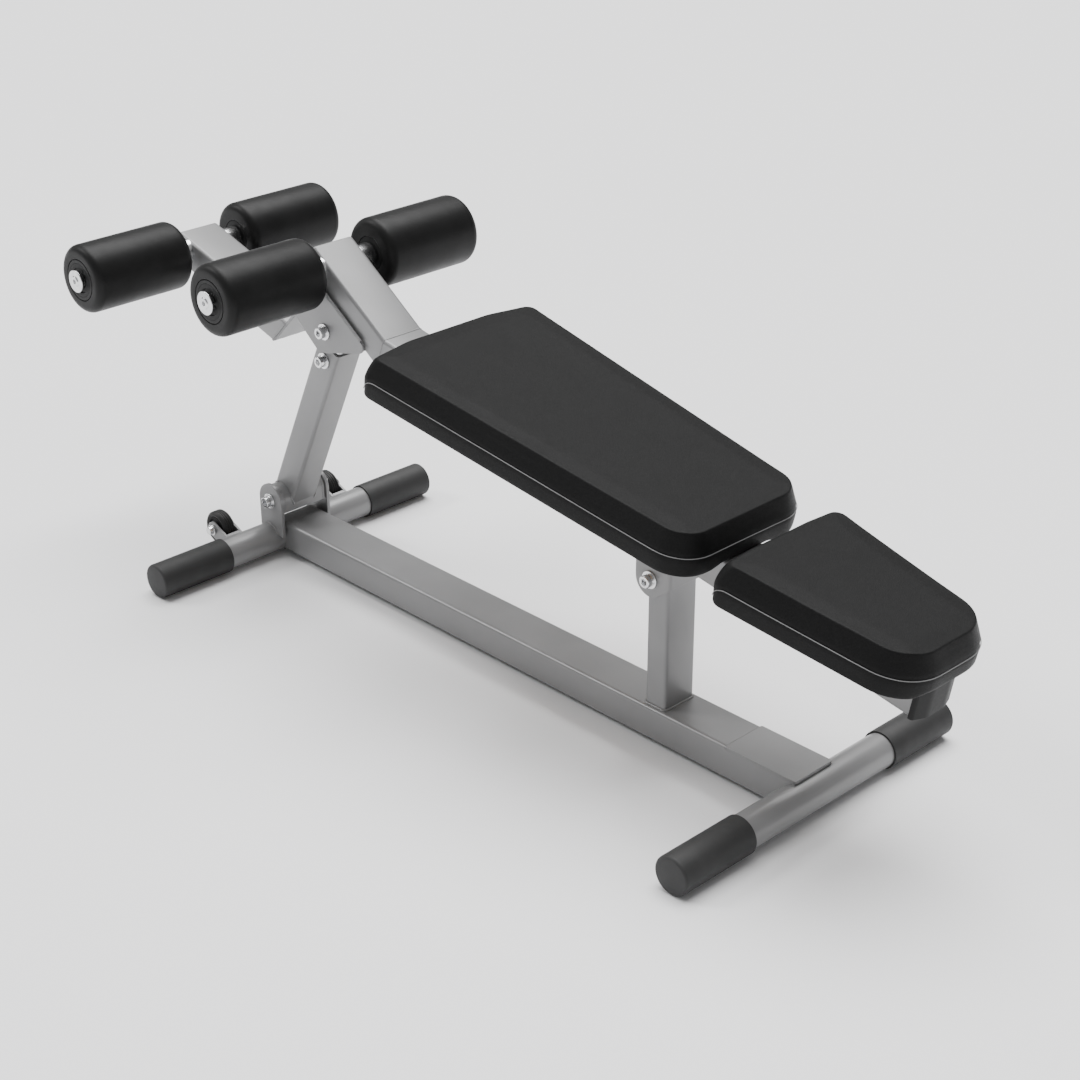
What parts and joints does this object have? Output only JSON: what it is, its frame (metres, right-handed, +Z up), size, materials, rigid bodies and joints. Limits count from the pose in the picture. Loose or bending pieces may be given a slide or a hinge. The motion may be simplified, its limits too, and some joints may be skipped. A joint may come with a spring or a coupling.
{
  "type": "adjustable weight bench",
  "caption": "Adjustable decline weight bench with padded back and head rests, leg rollers and a telescopic rear strut.",
  "frame": {"origin": "floor point under the middle of the bounding box", "axes": "+X towards the head end, +Y to the left of someone facing the head end, +Z up"},
  "size_m": [1.5548, 0.554, 0.5808],
  "materials": {
    "grey_paint": "satin light grey powder coat",
    "zinc": "bright zinc plating",
    "sleeve_rubber": "matt black",
    "wheel_rubber": "matt black",
    "black_plastic": "satin black",
    "pad_vinyl": "black grained vinyl with a light piping",
    "roller_foam": "skinned black foam with a soft sheen",
    "pad_board": "bare plywood"
  },
  "bodies": {
    "base": {"front_foot_tube": "grey_paint", "rear_foot_tube": "grey_paint", "foot_sleeve_front_right": "sleeve_rubber", "foot_sleeve_front_left": "sleeve_rubber", "foot_sleeve_rear_right": "sleeve_rubber", "foot_sleeve_rear_left": "sleeve_rubber", "base_rail": "grey_paint", "rail_end_plate": "grey_paint", "front_post": "grey_paint", "post_pivot_tube": "zinc", "rear_ear_right": "grey_paint", "rear_ear_left": "grey_paint", "rear_pivot_bolt": "zinc", "rear_pivot_nut": "zinc", "wheel_fork_right": "grey_paint", "wheel_fork_left": "grey_paint", "wheel_pin_right": "zinc", "wheel_pin_left": "zinc"},
    "bench_beam": {"seat_beam": "grey_paint", "beam_end_cap": "black_plastic", "hinge_saddle": "grey_paint", "front_pivot_bolt": "zinc", "front_pivot_nut": "zinc", "upper_beam": "grey_paint", "roller_arm": "grey_paint", "arm_mount_plate": "grey_paint", "gusset_bracket": "grey_paint", "upper_pivot_bolt": "zinc", "upper_pivot_nut": "zinc", "knee_roller_axle": "zinc", "foot_roller_axle": "zinc", "knee_roller_bolt_right": "zinc", "knee_roller_bolt_left": "zinc", "foot_roller_bolt_right": "zinc", "foot_roller_bolt_left": "zinc", "back_pad": "pad_vinyl", "back_pad_board": "pad_board", "head_pad": "pad_vinyl", "head_pad_board": "pad_board", "back_pad_bolt_1": "zinc", "back_pad_bolt_2": "zinc", "head_pad_bolt_1": "zinc", "head_pad_bolt_2": "zinc"},
    "strut_outer": {"strut_tube": "grey_paint", "strut_foot": "grey_paint", "lock_bolt": "zinc", "lock_nut": "zinc"},
    "strut_inner": {"strut_inner_tube": "zinc"},
    "knee_roller_right": {"knee_roller_foam_right": "roller_foam", "knee_roller_core_right": "black_plastic"},
    "knee_roller_left": {"knee_roller_foam_left": "roller_foam", "knee_roller_core_left": "black_plastic"},
    "foot_roller_right": {"foot_roller_foam_right": "roller_foam", "foot_roller_core_right": "black_plastic"},
    "foot_roller_left": {"foot_roller_foam_left": "roller_foam", "foot_roller_core_left": "black_plastic"},
    "wheel_right": {"transport_wheel_right": "wheel_rubber"},
    "wheel_left": {"transport_wheel_left": "wheel_rubber"}
  },
  "joints": [
    {"name": "beam_tilt", "type": "hinge", "parent": "base", "child": "bench_beam", "pos_m": [0.30653, 0, 0.2574], "axis": [0, 1, 0], "range_deg": [0, 8]},
    {"name": "strut_swing", "type": "hinge", "parent": "base", "child": "strut_outer", "pos_m": [-0.52437, 0, 0.0963], "axis": [0, 1, 0], "range_deg": [-2.5, 0.5]},
    {"name": "strut_extend", "type": "slide", "parent": "strut_outer", "child": "strut_inner", "axis": [0.4258, 0, 0.9048], "range_m": [0, 0.0965]},
    {"name": "knee_roller_right_spin", "type": "hinge", "parent": "bench_beam", "child": "knee_roller_right", "pos_m": [-0.37877, 0, 0.5262], "axis": [0, 1, 0], "continuous": true},
    {"name": "knee_roller_left_spin", "type": "hinge", "parent": "bench_beam", "child": "knee_roller_left", "pos_m": [-0.37877, 0, 0.5262], "axis": [0, 1, 0], "continuous": true},
    {"name": "foot_roller_right_spin", "type": "hinge", "parent": "bench_beam", "child": "foot_roller_right", "pos_m": [-0.72277, 0, 0.4716], "axis": [0, 1, 0], "continuous": true},
    {"name": "foot_roller_left_spin", "type": "hinge", "parent": "bench_beam", "child": "foot_roller_left", "pos_m": [-0.72277, 0, 0.4716], "axis": [0, 1, 0], "continuous": true},
    {"name": "wheel_right_spin", "type": "hinge", "parent": "base", "child": "wheel_right", "pos_m": [-0.58247, 0, 0.0495], "axis": [0, 1, 0], "continuous": true},
    {"name": "wheel_left_spin", "type": "hinge", "parent": "base", "child": "wheel_left", "pos_m": [-0.58247, 0, 0.0495], "axis": [0, 1, 0], "continuous": true}
  ],
  "couplings": [
    {"joint": "strut_swing", "follows": "beam_tilt", "ratio": -0.2003},
    {"joint": "strut_extend", "follows": "beam_tilt", "m_per_rad": 0.6899}
  ]
}
